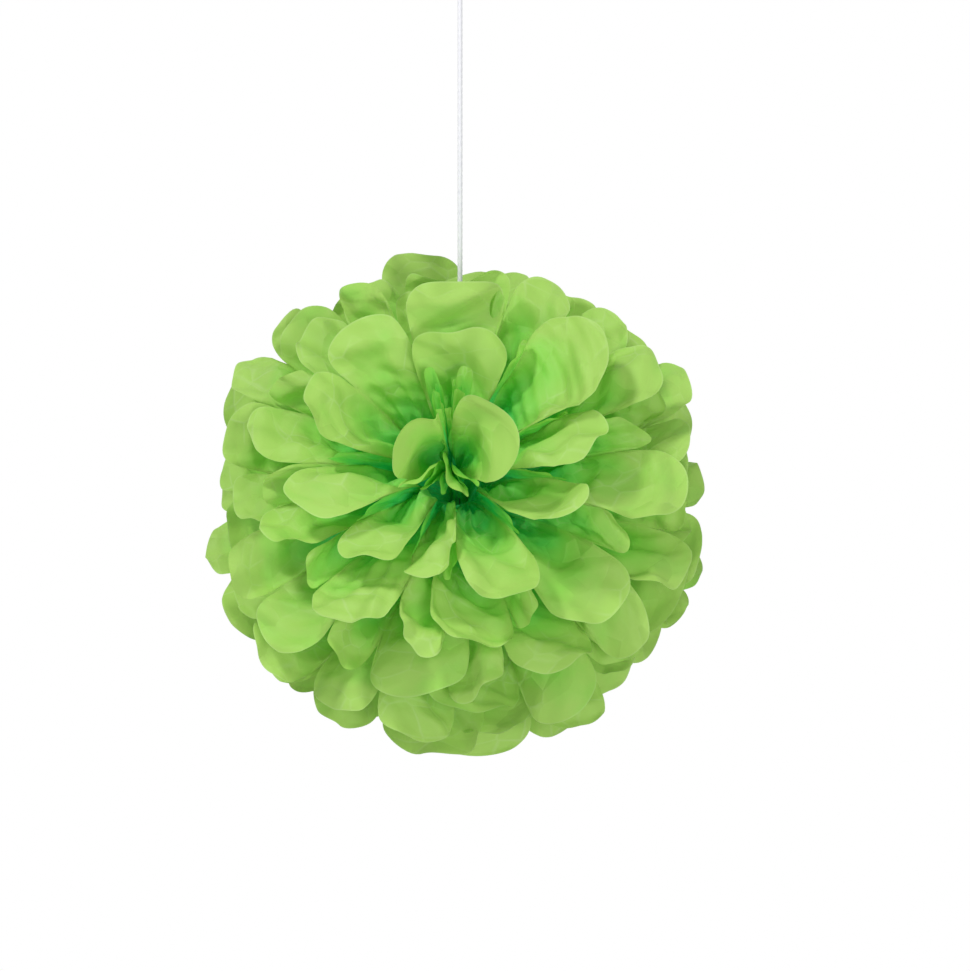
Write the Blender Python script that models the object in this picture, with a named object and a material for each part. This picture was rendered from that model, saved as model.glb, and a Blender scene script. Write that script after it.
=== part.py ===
"""A tissue paper pom pom on a white hanging cord.

A stack of tissue sheets is pleated into one strip, its ends are cut round, and a wire
ties it across the middle. Each end then opens into a fan, and the sheets are pulled
apart, some to the front pole and the rest to the rear pole, until they fill a ball.

Ball frame, set by the empty ball_frame at the tie: +X is the right-hand fan, +Y runs up
along the slit between the fans, and +Z is the front pole. A point in it is given by
  stack      place in the stack of sheets, 0 at the front pole to SHEETS at the rear pole,
  longitude  angle from the middle of the fan, 0 along X and a quarter turn along +Y,
  radius     distance from the tie.
A sheet keeps to its own whole number of the stack, so no two sheets meet.
World frame: +Z up along the cord, -Y to the front, the origin where a hook bears in the loop.
"""

import math
from collections import namedtuple

import bmesh
import bpy
import numpy as np
from mathutils import Matrix

# Ball
BALL_RADIUS = 0.203
POLE_TILT = math.radians(20.0)
POLE_TURN = math.radians(4.5)

# Tissue stack
SHEETS = 10
FRONT_SHEETS = 4
PANELS = 10
PAPER_THICKNESS = 0.0006
PLY_GAP = 0.00035
SPREAD_POWER = 1.15
LAYOUT_SEED = 7

# Petals
LOBE_POWER = 2.4
NOTCH_DEPTH = 0.036
NOTCH_STEP = 0.018
FOLD_START = 0.030
FOLD_FULL = 0.120
ROLL_START = 0.095
TIP_ROLL = math.radians(22.0)
ROLL_POWER = 1.3
SLOT_SHARE = 0.45
HOLD_POWER = 6
BULGE_SHARE = 0.35
FAN_ANGLE = math.radians(176.0)
LEAN_FACTOR = 1.4
END_LAP = math.radians(8.0)
END_GAP = math.radians(0.5)
WIDE_PANEL = math.radians(16.0)
POLE_PANEL = math.radians(60.0)
NARROW_SHARE = 0.80
LAP_HOLD = 0.70

# Ranges of what varies from petal to petal: fold's shift in panels and depth in the slot, length, cup, flap
FOLD_SHIFTS = (-0.16, 0.16)
FOLD_DEPTHS = (0.28, 0.42)
REACH_SHARES = (0.91, 1.03)
CUPS = (-0.22, 0.22)
FLAPS = (-0.40, 0.50)

# Folds of the innermost front sheets, lower end first: longitude in degrees, depth in the slot
PLACED_FOLDS = {
    (0, 1): (
        (-98, 0.20), (-66, 0.84), (-76, 0.36), (-54, 0.76), (58, 0.16), (84, 0.30),
        (61, 0.48), (69, 0.55), (77, 0.62), (85, 0.70), (66, 0.90),
    ),
    (0, -1): (
        (-90.5, 0.85), (-84, 0.52), (-66, 0.80), (-78, 0.34), (-48, 0.82), (68, 0.12),
        (86, 0.28), (67, 0.48), (76, 0.58), (85, 0.68), (68, 0.88),
    ),
    (1, 1): (
        (-90.5, 0.80), (-84, 0.52), (-52, 0.80), (-52, 0.22), (-16, 0.78), (-20, 0.20),
        (16, 0.78), (12, 0.25), (56, 0.80), (50, 0.07), (114, 0.08),
    ),
    (1, -1): (
        (-98, 0.25), (-74, 0.80), (-76, 0.25), (-42, 0.80), (-44, 0.20), (-8, 0.78),
        (-8, 0.20), (34, 0.78), (70, 0.34), (112, 0.70), (102, 0.93),
    ),
}

# Lobes of single petals of those sheets, by sheet, side and panel: share of the ball's radius, cup, flap
PLACED_LOBES = {
    (0, 1, 3): (0.98, 0.02, 0.00),
    (0, -1, 4): (0.95, -0.36, -0.05),
    (1, 1, 9): (0.92, -0.05, -0.10),
    (1, -1, 8): (1.02, -0.05, 0.04),
}
INNER_SHARE = 0.94

# Dip of the cut edges beside the cord, in the two sheets in front of it
CORD_DIP = 0.028
CORD_DIP_WIDTH = math.radians(10.0)

# Tie
NECK_HALF_WIDTH = 0.008
NECK_HALF_LENGTH = 0.006
FAN_START = 0.008
FAN_OPEN = 0.035
CLEARANCE = 0.0003
WIRE_DIAMETER = 0.0009
WIRE_CORNER = 0.0009
TWIST_GAP = 0.0002
TWIST_TURNS = 1.5
TAIL_START = 0.0015
TAIL_LENGTH = 0.010
EYE_RADIUS = 0.0034
EYE_MOUTH = math.radians(20.0)

# Cord: the top is a distance above the tie
CORD_DIAMETER = 0.004
CORD_TOP = 0.412
CORD_STEP = 0.012
BIGHT_HOLE = 0.0008
LOWER_KNOT_RADIUS = 0.0042
LOWER_KNOT_HALF_HEIGHT = 0.0036
LOWER_KNOT_SINK = 0.0010
LOOP_KNOT_RADIUS = 0.0065
LOOP_KNOT_HALF_HEIGHT = 0.0055
LOOP_RADIUS = 0.009
LOOP_HEIGHT = 0.030
TEARDROP_WIDEST = 0.77  # greatest value of sin(t) * sin(t / 2), the teardrop's half width

# Sheet grid: distance out as a share of the way from FAN_OPEN to the edge, and segments a panel
ROW_SHARES = ((0.38, 2), (0.74, 4), (1.0, 4))
SEGMENT_SHARES = {1: (0.0,), 2: (0.0, 0.5), 4: (0.0, 0.25, 0.5, 0.75)}

Fan = namedtuple("Fan", "longitudes depths roundings reaches notches cups flaps")


def clear_scene():
    """Remove every object of the file."""
    for obj in list(bpy.data.objects):
        bpy.data.objects.remove(obj, do_unlink=True)


def make_material(name, colour, roughness, metallic):
    """A Principled material of one colour."""
    material = bpy.data.materials.new(name)
    material.use_nodes = True
    shader = material.node_tree.nodes["Principled BSDF"]
    shader.inputs["Base Color"].default_value = (*colour, 1.0)
    shader.inputs["Roughness"].default_value = roughness
    shader.inputs["Metallic"].default_value = metallic
    return material


def smooth(share):
    """Smooth step from 0 to 1, held at its ends."""
    share = np.clip(share, 0.0, 1.0)
    return share * share * (3.0 - 2.0 * share)


def opening_angle(stack):
    """Colatitude of a place in the stack: 0 at the front pole, the cord's at FRONT_SHEETS, pi at the rear."""
    cord_angle = math.pi / 2 - POLE_TILT
    front = cord_angle * (np.clip(stack, 0, FRONT_SHEETS) / FRONT_SHEETS) ** SPREAD_POWER
    rear_share = np.clip((SHEETS - stack) / (SHEETS - FRONT_SHEETS), 0, 1)
    rear = math.pi - (math.pi - cord_angle) * rear_share**SPREAD_POWER
    return np.where(stack < FRONT_SHEETS, front, rear)


def colatitude(stack, longitude, radius):
    """Opening angle plus the outward roll of the tips, which grows with a power of the way out.

    The roll fades at the poles and the equator, and beside the cord, which stands between two sheets.
    """
    angle = opening_angle(stack)
    polar = np.minimum(angle, math.pi - angle)
    roll = TIP_ROLL * np.cos(angle) * (1.0 - np.exp(-polar / math.radians(10.0)))
    beside_cord = np.exp(-(((longitude - math.pi / 2) / math.radians(16.0)) ** 2))
    toward_cord = np.clip(1.0 - np.abs(stack - FRONT_SHEETS) / FRONT_SHEETS, 0, 1)
    way_out = np.clip((radius - ROLL_START) / (BALL_RADIUS - ROLL_START), 0, None)
    return angle + roll * (1.0 - beside_cord * toward_cord) * way_out**ROLL_POWER


def ball_point(stack, longitude, radius, side):
    """Ball-frame point: straight out from the tie, blended near it into the flat plies of the neck."""
    pitch = PAPER_THICKNESS + PLY_GAP
    angle = colatitude(stack, longitude, radius)
    out = smooth((radius - FAN_START) / (FAN_OPEN - FAN_START))
    neck_x = NECK_HALF_LENGTH + pitch * np.minimum(stack, SHEETS - stack)
    neck_y = NECK_HALF_WIDTH * longitude / (math.pi / 2)
    neck_z = pitch * (SHEETS / 2 - stack)
    x = (1 - out) * neck_x + out * radius * np.sin(angle) * np.cos(longitude)
    y = (1 - out) * neck_y + out * radius * np.sin(angle) * np.sin(longitude)
    z = (1 - out) * neck_z + out * radius * np.cos(angle)
    return np.stack([side * x, y, z], axis=-1)


def fan_layout(index, side):
    """Fold lines, their depths and notches, and each petal's rounding, length, cup and flap.

    Folds alternate between the front and the rear of the sheet's slot. The pleats lean over
    like knife pleats, the more the nearer to a pole, so that the upper petal covers the lower
    one. The end folds of the two fans lap over each other. Narrow panels are flatter and
    shorter. A notch's bottom lies between the lengths of its two petals. The innermost front
    sheets have their folds placed one by one.
    """
    random = np.random.default_rng((LAYOUT_SEED, index, side > 0))
    polar = min(opening_angle(index + 0.5), math.pi - opening_angle(index + 0.5))
    order = np.arange(PANELS + 1)
    first_sign = 1.0 if (index % 2 == 0) == (side < 0) else -1.0
    flip = np.where(order % 2 == 0, first_sign, -first_sign)
    lean = LEAN_FACTOR * math.cos(polar) ** 4
    shift = random.uniform(*FOLD_SHIFTS, PANELS + 1) + flip * lean / 2
    longitudes = FAN_ANGLE / PANELS * (order - PANELS / 2 + shift)
    for end, way in ((0, -1), (PANELS, 1)):
        lap = END_LAP * math.sin(polar) if flip[end] < 0 else END_GAP
        longitudes[end] = way * (math.pi / 2 + lap)
    depths = 0.5 + flip * random.uniform(*FOLD_DEPTHS, PANELS + 1)
    shares = random.uniform(*REACH_SHARES, PANELS)
    cups = random.uniform(*CUPS, PANELS)
    flaps = random.uniform(*FLAPS, PANELS)
    if (index, side) in PLACED_FOLDS:
        placed = np.array(PLACED_FOLDS[index, side])
        longitudes, depths = np.radians(placed[:, 0]), placed[:, 1]
        shares = shares * (INNER_SHARE if index == 0 else 1.0)
    broad = smooth(np.abs(np.diff(longitudes)) / (POLE_PANEL if index == 0 else WIDE_PANEL))
    reaches = BALL_RADIUS * (NARROW_SHARE * (1 - broad) + shares * broad)
    loose = broad * (1 - LAP_HOLD * math.cos(polar) ** 4)
    cups, flaps = cups * loose, flaps * loose
    for panel in range(PANELS):
        if (index, side, panel) in PLACED_LOBES:
            share, cups[panel], flaps[panel] = PLACED_LOBES[index, side, panel]
            reaches[panel] = BALL_RADIUS * share
    left, right = np.append(reaches[0], reaches), np.append(reaches, reaches[-1])
    notches = np.minimum((left + right) / 2, np.minimum(left, right) + NOTCH_STEP) - NOTCH_DEPTH
    return Fan(longitudes, depths, broad, reaches, notches, cups, flaps)


def fan_points(index, side, fan, place, way):
    """Points of one end of a sheet.

    place is the position across the pleats, 0 to PANELS, and way the position from the open
    end of the neck, 0, to the cut edge, 1. Across a panel the longitude and the depth run
    from fold to fold, with a smooth cup between. Past the notches each panel is a round lobe
    of its own, a little wider than its panel, and its flap bends it to the front or the rear.
    The depth is held inside the sheet's own slot.
    """
    panel = np.minimum(place.astype(int), PANELS - 1)
    share = place - panel
    across = 2 * share - 1
    lobe = np.sqrt(np.clip(1.0 - np.abs(across) ** LOBE_POWER, 0, 1))
    base = fan.notches[panel] * (1 - share) + fan.notches[panel + 1] * share
    lobe_length = fan.reaches[panel] - base
    edge = base + lobe_length * lobe
    begin, end = fan.longitudes[panel], fan.longitudes[panel + 1]
    if index in (FRONT_SHEETS - 2, FRONT_SHEETS - 1):
        from_cord = (begin + share * (end - begin) - math.pi / 2) / CORD_DIP_WIDTH
        edge = edge - CORD_DIP * np.exp(-(from_cord**2))
    radius = FAN_OPEN + way * (edge - FAN_OPEN)
    free = np.clip((radius - base) / lobe_length, 0, 1)
    folded = smooth((radius - FOLD_START) / (FOLD_FULL - FOLD_START))
    even = FAN_ANGLE * (place / PANELS - 0.5)
    wide = across * (1 + BULGE_SHARE * (1 - across**2) * np.sqrt(free))
    bent = (begin + end) / 2 + wide * (end - begin) / 2
    longitude = even + folded * (bent - even)
    ease = share + fan.roundings[panel] * (smooth(share) - share)
    depth = fan.depths[panel] * (1 - ease) + fan.depths[panel + 1] * ease
    depth = depth + fan.cups[panel] * np.sin(math.pi * share) + fan.flaps[panel] * free
    offset = depth - 0.5
    held = offset / (1 + (np.abs(offset) / SLOT_SHARE) ** HOLD_POWER) ** (1 / HOLD_POWER)
    return ball_point(index + 0.5 + folded * held, longitude, radius, side)


def neck_points(index, side, place, radius):
    """Points of the unfolded stretch between the tie and the open end of the neck."""
    longitude = FAN_ANGLE * (place / PANELS - 0.5)
    stack = np.full_like(place, index + 0.5)
    return ball_point(stack, longitude, np.full_like(place, radius), side)


def places_across(segments):
    """Positions of a row's points across the pleats."""
    shares = np.array(SEGMENT_SHARES[segments])
    return np.append((np.arange(PANELS)[:, None] + shares).ravel(), float(PANELS))


def sheet_rows(index):
    """Rows of points from the left tips to the right tips, each with its segments a panel."""
    halves = []
    for side in (-1, 1):
        fan = fan_layout(index, side)
        rows = [(1, neck_points(index, side, places_across(1), FAN_START))]
        rows.append((1, neck_points(index, side, places_across(1), FAN_OPEN)))
        for way, segments in ROW_SHARES:
            place = places_across(segments)
            rows.append((segments, fan_points(index, side, fan, place, way)))
        halves.append(rows)
    return halves[0][::-1] + halves[1]


def strip(first, first_segments, second, second_segments):
    """Triangles between two rows, where one row may have twice the segments of the other."""
    faces = []
    if first_segments > second_segments:
        return [face[::-1] for face in strip(second, second_segments, first, first_segments)]
    times = second_segments // first_segments
    for i in range(len(first) - 1):
        near, far = first[i], first[i + 1]
        outer = second[i * times : (i + 1) * times + 1]
        middle = times // 2
        for step in range(times):
            faces.append((near if step < middle or times == 1 else far, outer[step + 1], outer[step]))
        faces.append((near, far, outer[-1] if times == 1 else outer[middle]))
    return faces


def sheet_mesh(name, index):
    """One sheet as an open surface of triangles, left tips to right tips."""
    rows = sheet_rows(index)
    points, rings, faces = [], [], []
    for _, row in rows:
        rings.append(list(range(len(points), len(points) + len(row))))
        points.extend(row.tolist())
    for i in range(len(rows) - 1):
        faces += strip(rings[i], rows[i][0], rings[i + 1], rows[i + 1][0])
    mesh = bpy.data.meshes.new(name)
    mesh.from_pydata(points, [], faces)
    mesh.shade_smooth()
    return mesh


def add_object(name, data, material, parent):
    """Link a new object with its material, in its parent's frame."""
    obj = bpy.data.objects.new(name, data)
    bpy.context.scene.collection.objects.link(obj)
    obj.data.materials.append(material)
    obj.parent = parent
    return obj


def make_sheet(index, material, parent):
    """One tissue sheet, thickened about its middle surface."""
    name = f"tissue_sheet_{index + 1:02d}"
    sheet = add_object(name, sheet_mesh(name, index), material, parent)
    wall = sheet.modifiers.new("wall", "SOLIDIFY")
    wall.thickness = PAPER_THICKNESS
    wall.offset = 0.0
    return sheet


def cord_direction():
    """Direction of the cord in the ball frame: straight up in the world."""
    return np.array([0.0, math.cos(POLE_TILT), math.sin(POLE_TILT)])


def across_slit():
    """Direction square to the cord and to the ball frame's X."""
    return np.cross(cord_direction(), (1.0, 0.0, 0.0))


def neck_wire_sizes():
    """Half width and half height of the wire's turn round the neck, to its centre line."""
    seat = CLEARANCE + WIRE_DIAMETER / 2
    pitch = PAPER_THICKNESS + PLY_GAP
    neck_half_height = pitch * (SHEETS - 1) / 2 + PAPER_THICKNESS / 2
    return NECK_HALF_WIDTH + seat, neck_half_height + seat


def eye_top():
    """Distance from the tie to the far side of the wire's eye."""
    half_width = neck_wire_sizes()[0]
    tail_end = half_width / math.cos(POLE_TILT) + TAIL_START + TAIL_LENGTH
    return tail_end + 2 * EYE_RADIUS


def bight_radius():
    """Radius of the cord's bight through the eye, to its centre line."""
    return CORD_DIAMETER / 2 + BIGHT_HOLE


def knot_centre():
    """Distance from the tie to the middle of the lower knot."""
    bight_top = eye_top() + bight_radius() + CORD_DIAMETER / 2
    return bight_top - LOWER_KNOT_SINK + LOWER_KNOT_HALF_HEIGHT


def cord_bottom():
    """Distance from the tie to the cord's lower end, on the lower knot."""
    return knot_centre() + LOWER_KNOT_HALF_HEIGHT + CLEARANCE


def loop_knot_centre():
    """Distance from the tie to the middle of the knot of the loop."""
    return CORD_TOP + CLEARANCE + LOOP_KNOT_HALF_HEIGHT


def hub_drop():
    """Distance from the hook's bearing point in the loop down to the tie."""
    return loop_knot_centre() + LOOP_HEIGHT - CORD_DIAMETER / 2


def twisted_strand(phase):
    """One strand of the twisted tail, from the neck outwards: a helix about the cord's line."""
    start = neck_wire_sizes()[0] / math.cos(POLE_TILT) + TAIL_START
    share = np.linspace(0, 1, 13)[:, None]
    angle = phase + 2 * math.pi * TWIST_TURNS * share
    strand = (WIRE_DIAMETER + TWIST_GAP) / 2
    axis = (start + TAIL_LENGTH * share) * cord_direction()
    return axis + strand * (np.cos(angle) * np.array([1.0, 0, 0]) + np.sin(angle) * across_slit())


def neck_turn():
    """The wire's turn round the neck: a rectangle with round corners, from the tail and back to it."""
    half_width, half_height = neck_wire_sizes()
    quarter = np.radians([0, 30, 60, 90])
    points = []
    for y_way, z_way, turn in ((1, 1, 0), (-1, 1, 90), (-1, -1, 180), (1, -1, 270)):
        centre_y = y_way * (half_width - WIRE_CORNER)
        centre_z = z_way * (half_height - WIRE_CORNER)
        for angle in quarter + math.radians(turn):
            y = centre_y + WIRE_CORNER * math.cos(angle)
            z = centre_z + WIRE_CORNER * math.sin(angle)
            points.append((0.0, y, z))
    return np.array(points)


def eye_turn():
    """The eye at the end of the tail: a circle left open where the wire's ends meet."""
    base = math.asin((WIRE_DIAMETER + TWIST_GAP) / 2 / EYE_RADIUS)
    angles = np.linspace(base, 2 * math.pi - base - EYE_MOUTH, 14)[:, None]
    centre = (eye_top() - EYE_RADIUS) * cord_direction()
    return centre - EYE_RADIUS * (np.cos(angles) * cord_direction() + np.sin(angles) * across_slit())


def make_tube(name, points, diameter, resolution, material, parent, cyclic=False):
    """A round tube with filled ends along a list of points."""
    curve = bpy.data.curves.new(name, "CURVE")
    curve.dimensions = "3D"
    curve.bevel_depth = diameter / 2
    curve.bevel_resolution = resolution
    curve.use_fill_caps = not cyclic
    spline = curve.splines.new("POLY")
    spline.points.add(len(points) - 1)
    spline.points.foreach_set("co", np.hstack([points, np.ones((len(points), 1))]).ravel())
    spline.use_cyclic_u = cyclic
    spline.use_smooth = True
    return add_object(name, curve, material, parent)


def make_wire(material, parent):
    """One wire: down a strand of the tail, round the neck, up the other strand and round the eye."""
    down = twisted_strand(math.radians(-90))[::-1]
    up = twisted_strand(math.radians(90))
    points = np.vstack([down, neck_turn(), up, eye_turn()])
    return make_tube("binding_wire", points, WIRE_DIAMETER, 1, material, parent)


def make_knot(name, ring, height, radius, half_height, material, parent):
    """A knot: a rounded body in one with the ring of cord that it closes."""
    knot_mesh = bpy.data.meshes.new(name)
    body = bmesh.new()
    shape = Matrix.Diagonal((radius, radius, half_height, 1.0))
    bmesh.ops.create_uvsphere(body, u_segments=14, v_segments=9, radius=1.0, matrix=shape)
    body.to_mesh(knot_mesh)
    body.free()
    knot_mesh.shade_smooth()
    knot = add_object(name, knot_mesh, material, parent)
    knot.location = (0.0, 0.0, height)
    ring.hide_render = True
    ring.display_type = "WIRE"
    union = knot.modifiers.new("ring", "BOOLEAN")
    union.operation = "UNION"
    union.object = ring
    return knot


def mesh_ring(name, points, material, parent):
    """A closed ring of cord as a mesh, so that a Boolean can join it to its knot."""
    ring = make_tube(name + "_curve", points, CORD_DIAMETER, 2, material, parent, cyclic=True)
    bpy.context.view_layer.update()
    mesh = bpy.data.meshes.new_from_object(ring)
    bpy.data.objects.remove(ring, do_unlink=True)
    return add_object(name, mesh, material, parent)


def make_lower_knot(material, parent):
    """The cord's bight through the wire's eye, with its knot above the eye."""
    turn = np.linspace(0, 2 * math.pi, 16, endpoint=False)[:, None]
    centre = (0.0, 0.0, eye_top() + bight_radius() - CORD_DIAMETER / 2 - WIRE_DIAMETER / 2)
    bight = np.cos(turn) * np.array([1.0, 0, 0]) + np.sin(turn) * np.array([0, 0, 1.0])
    ring = mesh_ring("bight", centre + bight_radius() * bight, material, parent)
    sizes = (LOWER_KNOT_RADIUS, LOWER_KNOT_HALF_HEIGHT)
    return make_knot("cord_knot", ring, knot_centre(), *sizes, material, parent)


def make_hanging_loop(material, parent):
    """The loop at the top of the cord: a teardrop of cord closed by a knot."""
    turn = np.linspace(0, 2 * math.pi, 28, endpoint=False)
    x = LOOP_RADIUS / TEARDROP_WIDEST * np.sin(turn) * np.sin(turn / 2)
    z = loop_knot_centre() + LOOP_HEIGHT * (1 - np.cos(turn)) / 2
    points = np.stack([x, np.zeros_like(x), z], axis=-1)
    ring = mesh_ring("teardrop", points, material, parent)
    sizes = (LOOP_KNOT_RADIUS, LOOP_KNOT_HALF_HEIGHT)
    return make_knot("hanging_loop", ring, loop_knot_centre(), *sizes, material, parent)


def make_cord(material, parent):
    """The cord, straight up from the lower knot to the knot of the loop."""
    count = math.ceil((CORD_TOP - cord_bottom()) / CORD_STEP) + 1
    heights = np.linspace(cord_bottom(), CORD_TOP, count)
    points = np.stack([0 * heights, 0 * heights, heights], axis=-1)
    return make_tube("hanging_cord", points, CORD_DIAMETER, 2, material, parent)


def make_frames():
    """Empties at the tie: one upright, and in it the ball's, turned and tilted to the front pole."""
    upright = bpy.data.objects.new("tie_frame", None)
    tilted = bpy.data.objects.new("ball_frame", None)
    for frame in (upright, tilted):
        bpy.context.scene.collection.objects.link(frame)
    upright.location = (0.0, 0.0, -hub_drop())
    upright.rotation_euler = (0.0, 0.0, -POLE_TURN)
    tilted.parent = upright
    tilted.rotation_euler = (math.pi / 2 - POLE_TILT, 0.0, 0.0)
    return upright, tilted


def main():
    clear_scene()
    tissue = make_material("green_tissue", (0.27, 0.55, 0.07), 0.6, 0.0)
    wire = make_material("zinc_wire", (0.45, 0.45, 0.46), 0.35, 1.0)
    cord = make_material("white_cord", (0.86, 0.86, 0.87), 0.5, 0.0)
    upright, tilted = make_frames()
    for index in range(SHEETS):
        make_sheet(index, tissue, tilted)
    make_wire(wire, tilted)
    make_lower_knot(cord, upright)
    make_cord(cord, upright)
    make_hanging_loop(cord, upright)


main()
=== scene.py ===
"""Looks of a tissue paper pom pom on a white hanging cord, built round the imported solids.

Ball frame: origin at the tie, +X the right-hand fan, +Y up along the slit between the fans,
+Z the front pole. World frame: +Z up along the cord, -Y to the front, metres.
"""

import math
from collections import namedtuple

import bpy
import numpy as np
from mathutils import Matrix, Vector


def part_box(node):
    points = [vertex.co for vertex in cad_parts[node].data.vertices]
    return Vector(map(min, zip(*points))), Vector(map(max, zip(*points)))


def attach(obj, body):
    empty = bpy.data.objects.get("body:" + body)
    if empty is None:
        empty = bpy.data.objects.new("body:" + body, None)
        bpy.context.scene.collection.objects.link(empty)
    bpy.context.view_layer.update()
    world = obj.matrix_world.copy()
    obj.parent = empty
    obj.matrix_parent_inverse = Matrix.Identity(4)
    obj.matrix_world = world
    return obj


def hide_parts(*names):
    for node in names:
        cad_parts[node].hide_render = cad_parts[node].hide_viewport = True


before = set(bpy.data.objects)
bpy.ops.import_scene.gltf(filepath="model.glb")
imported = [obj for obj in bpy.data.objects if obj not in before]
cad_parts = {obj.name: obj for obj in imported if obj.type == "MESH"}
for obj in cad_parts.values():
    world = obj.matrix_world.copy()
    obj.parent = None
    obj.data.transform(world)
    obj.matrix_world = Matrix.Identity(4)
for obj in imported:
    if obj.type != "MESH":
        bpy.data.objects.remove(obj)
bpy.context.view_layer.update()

# Ball, as in the part
BALL_RADIUS = 0.203
POLE_TILT = math.radians(20.0)
POLE_TURN = math.radians(4.5)
TIE = np.array([0.0, 0.0, -0.4458])

# Tissue stack, as in the part
SHEETS = 10
FRONT_SHEETS = 4
PANELS = 10
PLY_PITCH = 0.00095
SPREAD_POWER = 1.15
LAYOUT_SEED = 7

# Petals, as in the part
LOBE_POWER = 2.4
NOTCH_DEPTH = 0.036
NOTCH_STEP = 0.018
FOLD_START = 0.030
FOLD_FULL = 0.120
ROLL_START = 0.095
TIP_ROLL = math.radians(22.0)
ROLL_POWER = 1.3
SLOT_SHARE = 0.45
HOLD_POWER = 6
BULGE_SHARE = 0.35
FAN_ANGLE = math.radians(176.0)
LEAN_FACTOR = 1.4
END_LAP = math.radians(8.0)
END_GAP = math.radians(0.5)
WIDE_PANEL = math.radians(16.0)
POLE_PANEL = math.radians(60.0)
NARROW_SHARE = 0.80
LAP_HOLD = 0.70
FOLD_SHIFTS = (-0.16, 0.16)
FOLD_DEPTHS = (0.28, 0.42)
REACH_SHARES = (0.91, 1.03)
CUPS = (-0.22, 0.22)
FLAPS = (-0.40, 0.50)
NECK_HALF_WIDTH = 0.008
NECK_HALF_LENGTH = 0.006
FAN_START = 0.008
FAN_OPEN = 0.035
CORD_DIP = 0.028
CORD_DIP_WIDTH = math.radians(10.0)

# Folds of the innermost front sheets, as in the part: longitude in degrees, depth in the slot
PLACED_FOLDS = {
    (0, 1): (
        (-98, 0.20), (-66, 0.84), (-76, 0.36), (-54, 0.76), (58, 0.16), (84, 0.30),
        (61, 0.48), (69, 0.55), (77, 0.62), (85, 0.70), (66, 0.90),
    ),
    (0, -1): (
        (-90.5, 0.85), (-84, 0.52), (-66, 0.80), (-78, 0.34), (-48, 0.82), (68, 0.12),
        (86, 0.28), (67, 0.48), (76, 0.58), (85, 0.68), (68, 0.88),
    ),
    (1, 1): (
        (-90.5, 0.80), (-84, 0.52), (-52, 0.80), (-52, 0.22), (-16, 0.78), (-20, 0.20),
        (16, 0.78), (12, 0.25), (56, 0.80), (50, 0.07), (114, 0.08),
    ),
    (1, -1): (
        (-98, 0.25), (-74, 0.80), (-76, 0.25), (-42, 0.80), (-44, 0.20), (-8, 0.78),
        (-8, 0.20), (34, 0.78), (70, 0.34), (112, 0.70), (102, 0.93),
    ),
}

# Lobes of single petals of those sheets, by sheet, side and panel: share of the ball's radius, cup, flap
PLACED_LOBES = {
    (0, 1, 3): (0.98, 0.02, 0.00),
    (0, -1, 4): (0.95, -0.36, -0.05),
    (1, 1, 9): (0.92, -0.05, -0.10),
    (1, -1, 8): (1.02, -0.05, 0.04),
}
INNER_SHARE = 0.94

# Crumples of the paper, in metres
LOOK_SEED = 21
COLUMNS = 32
ROWS = 64
NECK_ROWS = 5
PLEAT_HALF = 0.026
CREASES = 9
CREASE_TILT = 0.30
CREASE_SOFTNESS = 0.0004
CREASE_REACH = (0.012, 0.036)
FACET_SETS = 6
FACET_SLOPE = 0.20
FACET_GAPS = (0.011, 0.040)
FACET_SOFTNESS = 0.02
GATHER_HEIGHT = 0.0016
RUFFLE_HEIGHT = 0.0030
CURL_HEIGHT = 0.003
EDGE_WOBBLE = 0.0022
NARROW_CALM = 0.20  # what is left of the crumples on the narrowest pleats
INNER_CALM = 0.35  # what is left of the facets on the innermost front sheet
NARROW_SHADE = 0.060  # how much deeper in the folds the narrowest pleats are coloured, as painted shade
CREASE_BAND = (0.080, 0.200)
CRUMPLE_START = 0.060
CRUMPLE_FULL = 0.100
GATHER_RISE = (0.040, 0.070)
GATHER_FALL = (0.090, 0.160)
RUFFLE_WAVES = (1.2, 3.2)
ROW_CROWDING = 0.75  # below 1, rows lie closer towards the cut edge
SHEET_OFFSET = 50.0  # greatest shift of one sheet's pattern from the next's

# Paper colours from deep in the folds out to the cut edge: the saturated, bluer green deep in the folds is
# painted shade, and the paler yellow-green towards the cut edge is partly the paper's paler margin and
# partly painted light
PAPER_AND_PAINTED_LIGHT_COLOURS = (
    (0.0, (0.04, 0.82, 0.27, 1.0)),
    (0.35, (0.21, 0.79, 0.14, 1.0)),
    (0.70, (0.35, 0.78, 0.12, 1.0)),
    (1.0, (0.47, 0.75, 0.16, 1.0)),
)
PALE_EDGE_TO_FOLD_SHADE = 0.125  # width of the change from the pale cut edge inwards to the painted shade deep in the folds
RIM_WIDTH = 0.0014
RIM_SHARE = 0.30
CREASE_WIDTH = 0.06  # as a share of a facet
CREASE_SHARE = 0.28
CREASE_COLOUR = (0.66, 0.86, 0.40, 1.0)
LIGHT_THROUGH = 0.30
CLOUDS_PER_METRE = 28.0
CLOUD_SPREAD = 0.9
CLOUD_SHIFT = -0.40
FACET_BEND = 0.005
FIBRES_PER_METRE = 220.0
FACETS_PER_METRE = 62.0
FACET_TURN = 0.36

# Cord
CORD_DIAMETER = 0.004
STRANDS = 3
STRAND_RELIEF = 0.10
STRAND_PITCH = 0.016
CORD_RING_STEP = 0.0008
CORD_SIDES = 24
BIGHT_RADIUS = 0.0028
LOWER_KNOT_RADIUS = 0.0042
LOWER_KNOT_HALF_HEIGHT = 0.0036
TIGHT_RADIUS = 0.0015
LOOP_KNOT_RADIUS = 0.0065
LOOP_KNOT_HALF_HEIGHT = 0.0055
LOOP_RADIUS = 0.009
LOOP_HEIGHT = 0.030
TEARDROP_WIDEST = 0.77  # greatest value of sin(t) * sin(t / 2), the teardrop's half width

# Camera: the tie's place in the picture and the picture's width at the tie
PICTURE = (970, 971)
TIE_PIXEL = (460, 503)
VIEW_WIDTH = 0.772
CAMERA_DISTANCE = 3.2

# Room: a floor below the tie
FLOOR_RADIUS = 1.3
FLOOR_DROP = 0.62

Fan = namedtuple("Fan", "longitudes depths roundings reaches notches cups flaps")


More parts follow.
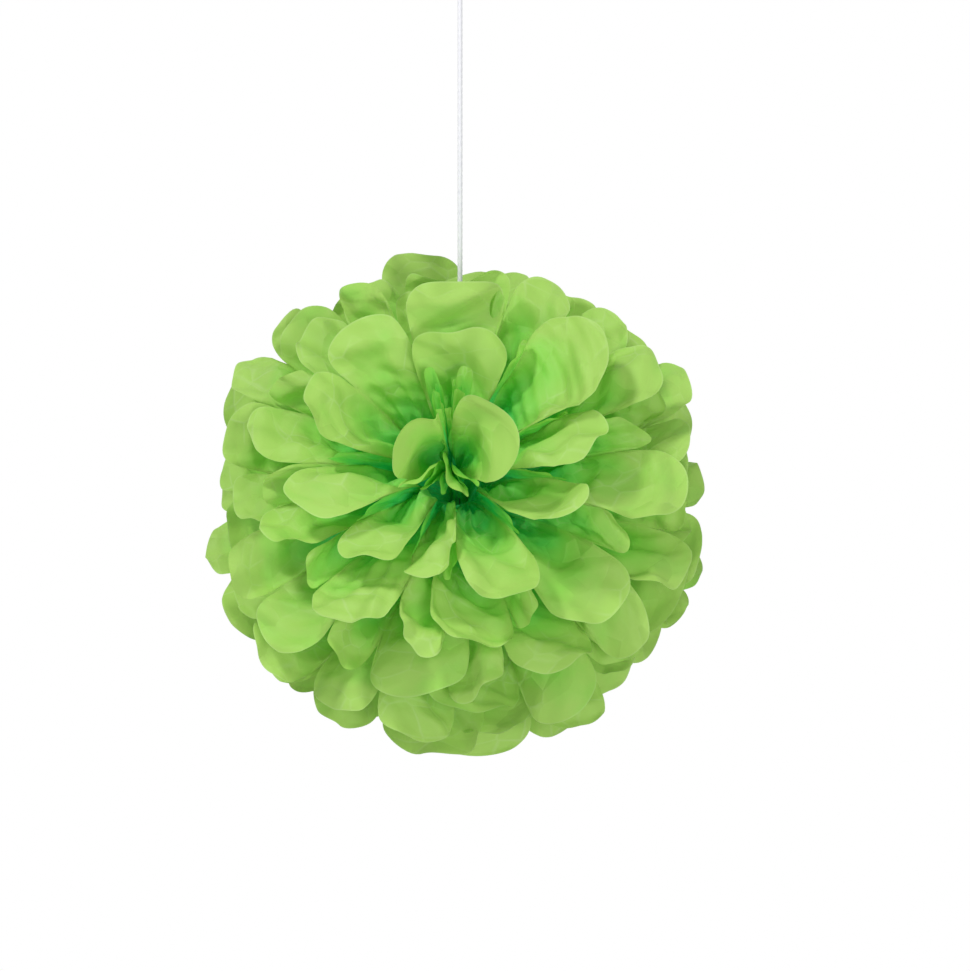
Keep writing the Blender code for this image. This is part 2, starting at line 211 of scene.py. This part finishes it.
def place_camera():
    """A level camera in front of the tie, shifted so that the tie falls on its pixel."""
    data = bpy.data.cameras.new("camera")
    camera = bpy.data.objects.new("camera", data)
    bpy.context.scene.collection.objects.link(camera)
    camera.location = TIE + np.array([0.0, -CAMERA_DISTANCE, 0.0])
    camera.rotation_euler = (math.pi / 2, 0.0, 0.0)
    data.sensor_width = 36.0
    data.lens = data.sensor_width * CAMERA_DISTANCE / VIEW_WIDTH
    data.shift_x = (PICTURE[0] / 2 - TIE_PIXEL[0]) / PICTURE[0]
    data.shift_y = (TIE_PIXEL[1] - PICTURE[1] / 2) / PICTURE[0]
    bpy.context.scene.camera = camera


def smooth(share):
    """Smooth step from 0 to 1, held at its ends."""
    share = np.clip(share, 0.0, 1.0)
    return share * share * (3.0 - 2.0 * share)


def link_mesh(name, points, faces, material, uv=None, from_edge=None):
    """A smooth piece from points in the world and faces, with a UV and a from_edge value a point."""
    mesh = bpy.data.meshes.new(name)
    mesh.from_pydata(points, [], faces)
    if uv is not None:
        corners = np.empty(len(mesh.loops), dtype=np.int32)
        mesh.loops.foreach_get("vertex_index", corners)
        layer = mesh.uv_layers.new(name="flat")
        layer.data.foreach_set("uv", np.asarray(uv, dtype=np.float32)[corners].ravel())
    if from_edge is not None:
        layer = mesh.attributes.new("from_edge", "FLOAT", "POINT")
        layer.data.foreach_set("value", np.asarray(from_edge, dtype=np.float32).ravel())
    mesh.shade_smooth()
    mesh.materials.append(material)
    piece = bpy.data.objects.new(name, mesh)
    bpy.context.scene.collection.objects.link(piece)
    return piece


def grid_faces(rows, columns, closed_rows=False, closed_columns=False):
    """Quads of a grid of rows by columns, each way closed into a ring or not."""
    index = np.arange(rows * columns).reshape(rows, columns)
    if closed_rows:
        index = np.vstack([index, index[:1]])
    if closed_columns:
        index = np.hstack([index, index[:, :1]])
    corners = (index[:-1, :-1], index[:-1, 1:], index[1:, 1:], index[1:, :-1])
    return np.stack(corners, axis=-1).reshape(-1, 4)


def nodes_of(name):
    """A new material with its nodes, links and Principled shader."""
    material = bpy.data.materials.new(name)
    material.use_nodes = True
    tree = material.node_tree
    return material, tree.nodes, tree.links, tree.nodes["Principled BSDF"]


def ranged(nodes, links, value, low, high, to_low, to_high):
    """A smooth step of a value between two limits, to another range."""
    step = nodes.new("ShaderNodeMapRange")
    step.interpolation_type = "SMOOTHSTEP"
    step.inputs["From Min"].default_value = low
    step.inputs["From Max"].default_value = high
    step.inputs["To Min"].default_value = to_low
    step.inputs["To Max"].default_value = to_high
    links.new(value, step.inputs["Value"])
    return step.outputs["Result"]


def combined(nodes, links, operation, *values):
    """Math of sockets and numbers."""
    math_node = nodes.new("ShaderNodeMath")
    math_node.operation = operation
    for place, value in enumerate(values):
        if isinstance(value, float):
            math_node.inputs[place].default_value = value
        else:
            links.new(value, math_node.inputs[place])
    return math_node.outputs[0]


def crumpled_normal(nodes, links, cells_colour, fibres):
    """Surface normal tilted by a random step in each cell, so cells look like flat facets."""
    centred = nodes.new("ShaderNodeVectorMath")
    centred.operation = "MULTIPLY_ADD"
    centred.inputs[1].default_value = (FACET_TURN,) * 3
    centred.inputs[2].default_value = (-FACET_TURN / 2,) * 3
    links.new(cells_colour, centred.inputs[0])
    surface = nodes.new("ShaderNodeNewGeometry")
    tilted = nodes.new("ShaderNodeVectorMath")
    tilted.operation = "ADD"
    links.new(surface.outputs["Normal"], tilted.inputs[0])
    links.new(centred.outputs[0], tilted.inputs[1])
    unit = nodes.new("ShaderNodeVectorMath")
    unit.operation = "NORMALIZE"
    links.new(tilted.outputs[0], unit.inputs[0])
    grain = nodes.new("ShaderNodeBump")
    grain.inputs["Strength"].default_value = 0.35
    grain.inputs["Distance"].default_value = 0.0006
    links.new(fibres, grain.inputs["Height"])
    links.new(unit.outputs[0], grain.inputs["Normal"])
    return grain.outputs["Normal"]


def tissue_paper():
    """Green tissue: paler and yellower towards the cut edge, partly its own tone and partly painted light,
    with painted shade as a saturated, bluer green deep in the folds; pale lines along creases and the cut
    edge; creased, letting light through.
    """
    material, nodes, links, paper = nodes_of("green_tissue_paper")
    flat = nodes.new("ShaderNodeUVMap")
    flat.uv_map = "flat"
    clouds = nodes.new("ShaderNodeTexNoise")
    clouds.inputs["Scale"].default_value = CLOUDS_PER_METRE
    clouds.inputs["Detail"].default_value = 3.0
    links.new(flat.outputs["UV"], clouds.inputs["Vector"])
    warp = nodes.new("ShaderNodeVectorMath")
    warp.operation = "MULTIPLY_ADD"
    warp.inputs[1].default_value = (FACET_BEND, FACET_BEND, 0.0)
    links.new(clouds.outputs["Color"], warp.inputs[0])
    links.new(flat.outputs["UV"], warp.inputs[2])
    facets = nodes.new("ShaderNodeTexVoronoi")
    facets.inputs["Scale"].default_value = FACETS_PER_METRE
    borders = nodes.new("ShaderNodeTexVoronoi")
    borders.feature = "DISTANCE_TO_EDGE"
    borders.inputs["Scale"].default_value = FACETS_PER_METRE
    fibres = nodes.new("ShaderNodeTexNoise")
    fibres.inputs["Scale"].default_value = FIBRES_PER_METRE
    fibres.inputs["Detail"].default_value = 4.0
    links.new(warp.outputs[0], facets.inputs["Vector"])
    links.new(warp.outputs[0], borders.inputs["Vector"])
    links.new(flat.outputs["UV"], fibres.inputs["Vector"])

    margin = nodes.new("ShaderNodeAttribute")
    margin.attribute_name = "from_edge"
    # Painted light and shade: the colour runs from the paler cut edge in to a saturated, bluer green deep
    # in the folds
    outward = ranged(nodes, links, margin.outputs["Fac"], 0.0, PALE_EDGE_TO_FOLD_SHADE, 1.0, 0.0)
    cloudy = combined(nodes, links, "MULTIPLY_ADD", clouds.outputs["Fac"], CLOUD_SPREAD, CLOUD_SHIFT)
    blend = combined(nodes, links, "ADD", outward, cloudy)
    colour = nodes.new("ShaderNodeValToRGB")
    ramp = colour.color_ramp.elements
    ramp[0].color = PAPER_AND_PAINTED_LIGHT_COLOURS[0][1]
    ramp[1].color = PAPER_AND_PAINTED_LIGHT_COLOURS[-1][1]
    for position, shade in PAPER_AND_PAINTED_LIGHT_COLOURS[1:-1]:
        ramp.new(position).color = shade
    links.new(blend, colour.inputs["Fac"])

    # Pale lines along some facet borders and a thin pale line along the cut edge
    creased = ranged(nodes, links, borders.outputs["Distance"], 0.0, CREASE_WIDTH, 1.0, 0.0)
    some = ranged(nodes, links, clouds.outputs["Fac"], 0.45, 0.65, 0.0, CREASE_SHARE)
    lines = combined(nodes, links, "MULTIPLY", creased, some)
    rim = ranged(nodes, links, margin.outputs["Fac"], 0.0, RIM_WIDTH, RIM_SHARE, 0.0)
    pale = combined(nodes, links, "MAXIMUM", lines, rim)
    with_pale_lines = nodes.new("ShaderNodeMix")
    with_pale_lines.data_type = "RGBA"
    with_pale_lines.inputs["B"].default_value = CREASE_COLOUR
    links.new(pale, with_pale_lines.inputs["Factor"])
    links.new(colour.outputs["Color"], with_pale_lines.inputs["A"])
    links.new(with_pale_lines.outputs["Result"], paper.inputs["Base Color"])
    paper.inputs["Roughness"].default_value = 0.55
    paper.inputs["Specular IOR Level"].default_value = 0.30

    normal = crumpled_normal(nodes, links, facets.outputs["Color"], fibres.outputs["Fac"])
    links.new(normal, paper.inputs["Normal"])
    through = nodes.new("ShaderNodeBsdfTranslucent")
    links.new(with_pale_lines.outputs["Result"], through.inputs["Color"])
    links.new(normal, through.inputs["Normal"])
    mix = nodes.new("ShaderNodeMixShader")
    mix.inputs["Fac"].default_value = LIGHT_THROUGH
    links.new(paper.outputs[0], mix.inputs[1])
    links.new(through.outputs[0], mix.inputs[2])
    links.new(mix.outputs[0], nodes["Material Output"].inputs["Surface"])
    return material


def white_cord():
    """White twisted cord: its white turns at random, along fine fibres, towards a faint cool lavender
    grey, and the fibres bump it.
    """
    material, nodes, links, shader = nodes_of("white_twisted_cord")
    flat = nodes.new("ShaderNodeUVMap")
    flat.uv_map = "flat"
    stretch = nodes.new("ShaderNodeMapping")
    stretch.inputs["Scale"].default_value = (2600.0, 180.0, 1.0)
    fibres = nodes.new("ShaderNodeTexNoise")
    fibres.inputs["Scale"].default_value = 1.0
    fibres.inputs["Detail"].default_value = 3.0
    links.new(flat.outputs["UV"], stretch.inputs["Vector"])
    links.new(stretch.outputs["Vector"], fibres.inputs["Vector"])
    tint = nodes.new("ShaderNodeValToRGB")
    tint.color_ramp.elements[0].color = (0.70, 0.70, 0.78, 1.0)
    tint.color_ramp.elements[0].position = 0.25
    tint.color_ramp.elements[1].color = (0.90, 0.90, 0.92, 1.0)
    tint.color_ramp.elements[1].position = 0.65
    links.new(fibres.outputs["Fac"], tint.inputs["Fac"])
    links.new(tint.outputs["Color"], shader.inputs["Base Color"])
    shader.inputs["Roughness"].default_value = 0.45
    bump = nodes.new("ShaderNodeBump")
    bump.inputs["Strength"].default_value = 0.4
    bump.inputs["Distance"].default_value = 0.0002
    links.new(fibres.outputs["Fac"], bump.inputs["Height"])
    links.new(bump.outputs["Normal"], shader.inputs["Normal"])
    return material


def zinc_wire():
    """Dull zinc wire with a faint uneven roughness."""
    material, nodes, links, shader = nodes_of("dull_zinc_wire")
    where = nodes.new("ShaderNodeTexCoord")
    blotches = nodes.new("ShaderNodeTexNoise")
    blotches.inputs["Scale"].default_value = 600.0
    rough = nodes.new("ShaderNodeMapRange")
    rough.inputs["To Min"].default_value = 0.30
    rough.inputs["To Max"].default_value = 0.55
    links.new(where.outputs["Object"], blotches.inputs["Vector"])
    links.new(blotches.outputs["Fac"], rough.inputs["Value"])
    links.new(rough.outputs["Result"], shader.inputs["Roughness"])
    shader.inputs["Base Color"].default_value = (0.45, 0.45, 0.46, 1.0)
    shader.inputs["Metallic"].default_value = 1.0
    return material


def tube_along(path, radius, sides, strands=0, closed=False):
    """Points and UV of a twisted cord along a path of points.

    Each ring lies square to the path, in a frame carried along it with the least turning.
    The radius swells over each strand: relief times the absolute cosine of the angle across
    a strand, and the strands turn once every STRAND_PITCH.
    """
    ahead = np.roll(path, -1, axis=0) - np.roll(path, 1, axis=0)
    if not closed:
        ahead[0], ahead[-1] = path[1] - path[0], path[-1] - path[-2]
    ahead /= np.linalg.norm(ahead, axis=1, keepdims=True)
    first = np.cross(ahead[0], (0.3, 0.9, 0.2))
    normals = [first / np.linalg.norm(first)]
    for direction in ahead[1:]:
        kept = normals[-1] - direction * np.dot(normals[-1], direction)
        normals.append(kept / np.linalg.norm(kept))
    normals = np.array(normals)
    sidesways = np.cross(ahead, normals)
    steps = np.linalg.norm(np.diff(path, axis=0), axis=1)
    length = np.concatenate([[0.0], np.cumsum(steps)])[:, None]
    angle = np.linspace(0, 2 * math.pi, sides, endpoint=False)[None, :]
    swell = np.ones((len(path), sides))
    if strands:
        twist = angle + 2 * math.pi * length / STRAND_PITCH
        hump = np.abs(np.cos(strands * twist / 2))
        swell = 1 - STRAND_RELIEF + STRAND_RELIEF * hump
    ring = (radius * swell)[..., None]
    points = path[:, None] + ring * (
        np.cos(angle)[..., None] * normals[:, None] + np.sin(angle)[..., None] * sidesways[:, None]
    )
    uv = np.stack(np.broadcast_arrays(angle * radius, length), axis=-1)
    return points.reshape(-1, 3), uv.reshape(-1, 2)


def tube_piece(name, runs, material):
    """One piece of several tubes: each run is (path, radius, strands, closed)."""
    points, uv, faces, start = [], [], [], 0
    for path, radius, strands, closed in runs:
        run_points, run_uv = tube_along(path, radius, CORD_SIDES, strands, closed)
        run_faces = grid_faces(len(path), CORD_SIDES, closed, True) + start
        faces += run_faces.tolist()
        if not closed:
            rim = np.arange(CORD_SIDES) + start
            faces += [rim[::-1].tolist(), (rim + (len(path) - 1) * CORD_SIDES).tolist()]
        points.append(run_points)
        uv.append(run_uv)
        start += len(run_points)
    return link_mesh(name, np.vstack(points), faces, material, np.vstack(uv))


def hang_cord(material):
    """The straight cord, from its knot on the wire's eye up to the knot of the loop."""
    low, high = (np.array(corner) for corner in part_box("hanging_cord"))
    count = round((high[2] - low[2]) / CORD_RING_STEP) + 1
    middle = (low + high) / 2
    path = np.tile(middle, (count, 1))
    path[:, 2] = np.linspace(low[2], high[2], count)
    cord = tube_piece("cord", [(path, CORD_DIAMETER / 2, STRANDS, False)], material)
    return cord


def knot_path(centre, outer_radius, half_height, strand_radius, count=160):
    """A trefoil knot: a curve that runs twice round its axis while it dips and rises three times."""
    turn = np.linspace(0, 2 * math.pi, count, endpoint=False)
    size = (outer_radius - strand_radius) / 3
    x = size * (np.sin(turn) + 2 * np.sin(2 * turn))
    y = size * (np.cos(turn) - 2 * np.cos(2 * turn))
    z = -(half_height - strand_radius) * np.sin(3 * turn)
    return centre + np.stack([x, y, z], axis=-1)


def tie_upper_loop(material):
    """The teardrop loop of cord and the knot that closes it."""
    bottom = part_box("hanging_loop")[0][2]
    knot = np.array([0.0, 0.0, bottom + LOOP_KNOT_HALF_HEIGHT])
    turn = np.linspace(0, 2 * math.pi, 140, endpoint=False)
    x = LOOP_RADIUS / TEARDROP_WIDEST * np.sin(turn) * np.sin(turn / 2)
    z = knot[2] + LOOP_HEIGHT * (1 - np.cos(turn)) / 2
    drop = np.stack([x, np.zeros_like(x), z], axis=-1)
    radius = CORD_DIAMETER / 2
    bends = knot_path(knot, LOOP_KNOT_RADIUS, LOOP_KNOT_HALF_HEIGHT, radius)
    runs = [(drop, radius, STRANDS, True), (bends, radius, STRANDS, True)]
    return tube_piece("loop_and_knot", runs, material)


def tie_lower_knot(material):
    """The cord's bight through the wire's eye and the knot above it."""
    low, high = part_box("cord_knot")
    knot = np.array([0.0, 0.0, high[2] - LOWER_KNOT_HALF_HEIGHT])
    turn = np.linspace(0, 2 * math.pi, 48, endpoint=False)
    centre = np.array([0.0, 0.0, low[2] + CORD_DIAMETER / 2 + BIGHT_RADIUS])
    ring = centre + BIGHT_RADIUS * np.stack([np.cos(turn), np.zeros_like(turn), np.sin(turn)], axis=-1)
    bends = knot_path(knot, LOWER_KNOT_RADIUS, LOWER_KNOT_HALF_HEIGHT, TIGHT_RADIUS)
    runs = [(ring, CORD_DIAMETER / 2, 0, True), (bends, TIGHT_RADIUS, 0, True)]
    return tube_piece("lower_knot", runs, material)


def opening_angle(stack):
    """Colatitude of a place in the stack: 0 at the front pole, pi at the rear pole."""
    cord_angle = math.pi / 2 - POLE_TILT
    front = cord_angle * (np.clip(stack, 0, FRONT_SHEETS) / FRONT_SHEETS) ** SPREAD_POWER
    rear_share = np.clip((SHEETS - stack) / (SHEETS - FRONT_SHEETS), 0, 1)
    rear = math.pi - (math.pi - cord_angle) * rear_share**SPREAD_POWER
    return np.where(stack < FRONT_SHEETS, front, rear)


def colatitude(stack, longitude, radius):
    """Opening angle plus the outward roll of the tips, as in the part."""
    angle = opening_angle(stack)
    polar = np.minimum(angle, math.pi - angle)
    roll = TIP_ROLL * np.cos(angle) * (1.0 - np.exp(-polar / math.radians(10.0)))
    beside_cord = np.exp(-(((longitude - math.pi / 2) / math.radians(16.0)) ** 2))
    toward_cord = np.clip(1.0 - np.abs(stack - FRONT_SHEETS) / FRONT_SHEETS, 0, 1)
    way_out = np.clip((radius - ROLL_START) / (BALL_RADIUS - ROLL_START), 0, None)
    return angle + roll * (1.0 - beside_cord * toward_cord) * way_out**ROLL_POWER


def ball_point(stack, longitude, radius, side):
    """Ball-frame point: straight out from the tie, blended near it into the flat plies of the neck."""
    angle = colatitude(stack, longitude, radius)
    out = smooth((radius - FAN_START) / (FAN_OPEN - FAN_START))
    neck_x = NECK_HALF_LENGTH + PLY_PITCH * np.minimum(stack, SHEETS - stack)
    neck_y = NECK_HALF_WIDTH * longitude / (math.pi / 2)
    neck_z = PLY_PITCH * (SHEETS / 2 - stack)
    x = (1 - out) * neck_x + out * radius * np.sin(angle) * np.cos(longitude)
    y = (1 - out) * neck_y + out * radius * np.sin(angle) * np.sin(longitude)
    z = (1 - out) * neck_z + out * radius * np.cos(angle)
    return np.stack([side * x, y, z], axis=-1)


def to_world(points):
    """Ball-frame points tilted to the front pole, turned and set at the tie."""
    tilt = math.pi / 2 - POLE_TILT
    lean = np.array([[1, 0, 0], [0, math.cos(tilt), -math.sin(tilt)], [0, math.sin(tilt), math.cos(tilt)]])
    along, aside = math.cos(POLE_TURN), math.sin(POLE_TURN)
    turn = np.array([[along, aside, 0], [-aside, along, 0], [0, 0, 1]])
    return points @ (turn @ lean).T + TIE


def fan_layout(index, side):
    """Fold lines with their depths and notches, and each petal's lengths and curls, as in the part."""
    random = np.random.default_rng((LAYOUT_SEED, index, side > 0))
    polar = min(opening_angle(index + 0.5), math.pi - opening_angle(index + 0.5))
    order = np.arange(PANELS + 1)
    first_sign = 1.0 if (index % 2 == 0) == (side < 0) else -1.0
    flip = np.where(order % 2 == 0, first_sign, -first_sign)
    lean = LEAN_FACTOR * math.cos(polar) ** 4
    shift = random.uniform(*FOLD_SHIFTS, PANELS + 1) + flip * lean / 2
    longitudes = FAN_ANGLE / PANELS * (order - PANELS / 2 + shift)
    for end, way in ((0, -1), (PANELS, 1)):
        lap = END_LAP * math.sin(polar) if flip[end] < 0 else END_GAP
        longitudes[end] = way * (math.pi / 2 + lap)
    depths = 0.5 + flip * random.uniform(*FOLD_DEPTHS, PANELS + 1)
    shares = random.uniform(*REACH_SHARES, PANELS)
    cups = random.uniform(*CUPS, PANELS)
    flaps = random.uniform(*FLAPS, PANELS)
    if (index, side) in PLACED_FOLDS:
        placed = np.array(PLACED_FOLDS[index, side])
        longitudes, depths = np.radians(placed[:, 0]), placed[:, 1]
        shares = shares * (INNER_SHARE if index == 0 else 1.0)
    broad = smooth(np.abs(np.diff(longitudes)) / (POLE_PANEL if index == 0 else WIDE_PANEL))
    reaches = BALL_RADIUS * (NARROW_SHARE * (1 - broad) + shares * broad)
    loose = broad * (1 - LAP_HOLD * math.cos(polar) ** 4)
    cups, flaps = cups * loose, flaps * loose
    for panel in range(PANELS):
        if (index, side, panel) in PLACED_LOBES:
            share, cups[panel], flaps[panel] = PLACED_LOBES[index, side, panel]
            reaches[panel] = BALL_RADIUS * share
    left, right = np.append(reaches[0], reaches), np.append(reaches, reaches[-1])
    notches = np.minimum((left + right) / 2, np.minimum(left, right) + NOTCH_STEP) - NOTCH_DEPTH
    return Fan(longitudes, depths, broad, reaches, notches, cups, flaps)


def crease_height(random, panel, across, radius):
    """Height of the crumples over the paper, in metres.

    Each petal has CREASES straight folds. A fold's height is its tilt times the distance from
    its line, rounded at the line, and a bell curve about a point on the line fades it.
    """
    x = across * PLEAT_HALF
    height = np.zeros_like(radius)
    for _ in range(CREASES):
        angle = random.uniform(0, math.pi, PANELS)[panel]
        middle_x = random.uniform(-PLEAT_HALF, PLEAT_HALF, PANELS)[panel]
        middle_r = random.uniform(*CREASE_BAND, PANELS)[panel]
        tilt = random.normal(0.0, CREASE_TILT, PANELS)[panel]
        reach = random.uniform(*CREASE_REACH, PANELS)[panel]
        off_x, off_r = x - middle_x, radius - middle_r
        distance = off_x * np.cos(angle) + off_r * np.sin(angle)
        fade = np.exp(-(off_x**2 + off_r**2) / reach**2)
        height += tilt * (np.hypot(distance, CREASE_SOFTNESS) - CREASE_SOFTNESS) * fade
    return height


def facet_height(random, panel, across, radius):
    """Height of the flat facets over the paper, in metres.

    Each petal has FACET_SETS sets of straight parallel folds. A set's height is a zigzag:
    slope times the distance to the nearest fold line, so the paper between lines stays flat.
    Sets that cross break it into facets.
    """
    height = np.zeros_like(radius)
    for _ in range(FACET_SETS):
        angle = random.uniform(0, math.pi, PANELS)[panel]
        gap = random.uniform(*FACET_GAPS, PANELS)[panel]
        start = random.uniform(0, 1, PANELS)[panel]
        slope = random.normal(0.0, FACET_SLOPE, PANELS)[panel]
        turns = (across * PLEAT_HALF * np.cos(angle) + radius * np.sin(angle)) / gap + start
        off_line = np.hypot(turns - np.round(turns), FACET_SOFTNESS)
        height += slope * gap * (off_line - 0.25)
    return height


def petal_fans(index, side):
    """Points, flat UV and distance from the cut edge of one end of a sheet, as a grid.

    It runs from the tie out to the cut edge: the part's surface, and on it, square to the
    surface: gathers that run outwards from the tie, creases, facets, a ruffle along the cut
    edge and a curl of each tip.
    """
    fan = fan_layout(index, side)
    random = np.random.default_rng((LOOK_SEED, index, side > 0))
    place = np.linspace(0, PANELS, PANELS * COLUMNS + 1)[None, :]
    way = (np.linspace(0, 1, ROWS) ** ROW_CROWDING)[:, None]
    panel = np.minimum(place.astype(int), PANELS - 1)
    share = place - panel
    across = 2 * share - 1
    lobe = np.sqrt(np.clip(1.0 - np.abs(across) ** LOBE_POWER, 0, 1))
    base = fan.notches[panel] * (1 - share) + fan.notches[panel + 1] * share
    lobe_length = fan.reaches[panel] - base
    edge = base + lobe_length * lobe
    begin, end = fan.longitudes[panel], fan.longitudes[panel + 1]
    if index in (FRONT_SHEETS - 2, FRONT_SHEETS - 1):
        from_cord = (begin + share * (end - begin) - math.pi / 2) / CORD_DIP_WIDTH
        edge = edge - CORD_DIP * np.exp(-(from_cord**2))
    wobble = np.zeros_like(edge)
    for waves in (2, 3, 5):
        phase = random.uniform(0, 2 * math.pi, PANELS)[panel]
        wobble += np.sin(math.pi * waves * share + phase) / waves
    edge = edge + EDGE_WOBBLE * wobble * (1 - across**6)
    radius = FAN_OPEN + way * (edge - FAN_OPEN)
    free = np.clip((radius - base) / lobe_length, 0, 1)
    folded = smooth((radius - FOLD_START) / (FOLD_FULL - FOLD_START))
    even = FAN_ANGLE * (place / PANELS - 0.5)
    wide = across * (1 + BULGE_SHARE * (1 - across**2) * np.sqrt(free))
    bent = (begin + end) / 2 + wide * (end - begin) / 2
    longitude = even + folded * (bent - even)
    ease = share + fan.roundings[panel] * (smooth(share) - share)
    depth = fan.depths[panel] * (1 - ease) + fan.depths[panel + 1] * ease
    depth = depth + fan.cups[panel] * np.sin(math.pi * share) + fan.flaps[panel] * free
    offset = depth - 0.5
    held = offset / (1 + (np.abs(offset) / SLOT_SHARE) ** HOLD_POWER) ** (1 / HOLD_POWER)
    points = ball_point(index + 0.5 + folded * held, longitude, radius, side)

    calm = NARROW_CALM + (1 - NARROW_CALM) * fan.roundings[panel]
    inside = (1 - across**6) * calm
    facets = facet_height(random, panel, across, radius) * (INNER_CALM if index == 0 else 1.0)
    height = crease_height(random, panel, across, radius) + facets
    height *= smooth((radius - CRUMPLE_START) / (CRUMPLE_FULL - CRUMPLE_START))
    phase = random.uniform(0, 2 * math.pi, PANELS)[panel]
    gathers = np.sin(2 * math.pi * 3 * share + phase) + 0.6 * np.sin(2 * math.pi * 5 * share - phase)
    rise = smooth((radius - GATHER_RISE[0]) / (GATHER_RISE[1] - GATHER_RISE[0]))
    fall = smooth((radius - GATHER_FALL[0]) / (GATHER_FALL[1] - GATHER_FALL[0]))
    fade = rise * (1 - fall)
    height += GATHER_HEIGHT * gathers * fade
    waves = random.uniform(*RUFFLE_WAVES, PANELS)[panel]
    height += RUFFLE_HEIGHT * np.sin(math.pi * waves * across + phase) * free**1.5
    height += random.uniform(-CURL_HEIGHT, CURL_HEIGHT, PANELS)[panel] * free**2
    points = points + (height * inside)[..., None] * surface_normals(points)

    neck_radius = np.linspace(FAN_START, FAN_OPEN, NECK_ROWS + 1)[:-1, None]
    shape = np.broadcast_shapes(neck_radius.shape, place.shape)
    flat_ply = np.full(shape, index + 0.5)
    neck = ball_point(flat_ply, np.broadcast_to(even, shape), np.broadcast_to(neck_radius, shape), side)
    flat_x = place * 2 * PLEAT_HALF + random.uniform(0, SHEET_OFFSET) + 0 * way
    flat_neck = np.stack(np.broadcast_arrays(flat_x[:1], neck_radius), axis=-1)
    flat_fan = np.stack([flat_x, radius], axis=-1)
    # Painted shade: the narrowest pleats, tucked deep in the folds, take the colour of paper farther in
    shade = edge + NARROW_SHADE * (1 - fan.roundings[panel])
    from_edge = np.vstack([shade - neck_radius, shade - radius])
    return np.vstack([neck, points]), np.vstack([flat_neck, flat_fan]), from_edge


def surface_normals(points):
    """Unit normals of a grid of points, from the slopes along its rows and columns."""
    down, along = np.gradient(points, axis=0), np.gradient(points, axis=1)
    normals = np.cross(along, down)
    length = np.linalg.norm(normals, axis=-1, keepdims=True)
    return normals / np.maximum(length, 1e-12)


def spread_sheet(index, material):
    """One sheet: its left fan, the ply across the tie and its right fan as one grid."""
    left, left_flat, left_margin = petal_fans(index, -1)
    right, right_flat, right_margin = petal_fans(index, 1)
    points = to_world(np.vstack([left[::-1], right]))
    flat = np.vstack([left_flat[::-1], right_flat])
    margin = np.vstack([left_margin[::-1], right_margin])
    rows, columns = points.shape[:2]
    faces = grid_faces(rows, columns).tolist()
    name = f"petals_{index + 1:02d}"
    return link_mesh(name, points.reshape(-1, 3), faces, material, flat.reshape(-1, 2), margin)


def soft_lamp(name, offset, size, watts):
    """A square lamp at an offset from the tie, aimed at it."""
    data = bpy.data.lights.new(name, "AREA")
    data.size = size
    data.energy = watts
    lamp = bpy.data.objects.new(name, data)
    bpy.context.scene.collection.objects.link(lamp)
    lamp.location = TIE + np.array(offset)
    lamp.rotation_euler = (-Vector(offset)).to_track_quat("-Z", "Y").to_euler()


def white_room(fill):
    """Even fill light, and plain white behind the object."""
    world = bpy.data.worlds.new("room")
    world.use_nodes = True
    bpy.context.scene.world = world
    nodes, links = world.node_tree.nodes, world.node_tree.links
    rays = nodes.new("ShaderNodeLightPath")
    seen = nodes.new("ShaderNodeMath")
    seen.operation = "MAXIMUM"
    links.new(rays.outputs["Is Camera Ray"], seen.inputs[0])
    links.new(rays.outputs["Is Glossy Ray"], seen.inputs[1])
    strength = nodes.new("ShaderNodeMapRange")
    strength.inputs["To Min"].default_value = fill
    strength.inputs["To Max"].default_value = 1.0
    links.new(seen.outputs[0], strength.inputs["Value"])
    links.new(strength.outputs["Result"], nodes["Background"].inputs["Strength"])
    nodes["Background"].inputs["Color"].default_value = (1.0, 1.0, 1.0, 1.0)


def pale_floor():
    """A round pale floor under the object."""
    material, _, _, shader = nodes_of("pale_floor")
    shader.inputs["Base Color"].default_value = (0.85, 0.85, 0.85, 1.0)
    shader.inputs["Roughness"].default_value = 0.8
    turn = np.linspace(0, 2 * math.pi, 96, endpoint=False)
    flat = np.stack([np.cos(turn), np.sin(turn), np.zeros_like(turn)], axis=-1)
    rim = TIE + FLOOR_RADIUS * flat - np.array([0.0, 0.0, FLOOR_DROP])
    floor = link_mesh("floor", rim, [list(range(len(rim)))], material)


def carry(piece, slot, *nodes):
    """The piece rides on the only body and stands for these nodes, which it hides."""
    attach(piece, "root")
    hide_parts(*nodes)


place_camera()
cord_white = white_cord()
loop = tie_upper_loop(cord_white)
carry(loop, "white_cord", "hanging_loop")
lower_knot = tie_lower_knot(cord_white)
carry(lower_knot, "white_cord", "cord_knot")
carry(hang_cord(cord_white), "white_cord", "hanging_cord")
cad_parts["binding_wire"].material_slots[0].material = zinc_wire()
tissue = tissue_paper()
for sheet_index in range(SHEETS):
    carry(spread_sheet(sheet_index, tissue), "green_tissue", f"tissue_sheet_{sheet_index + 1:02d}")
bpy.context.scene.view_settings.view_transform = "Standard"
white_room(fill=0.51)
soft_lamp("key", (-1.2, -1.6, 1.9), 0.35, 34.0)
soft_lamp("front", (0.9, -2.3, -0.3), 0.9, 18.0)
pale_floor()
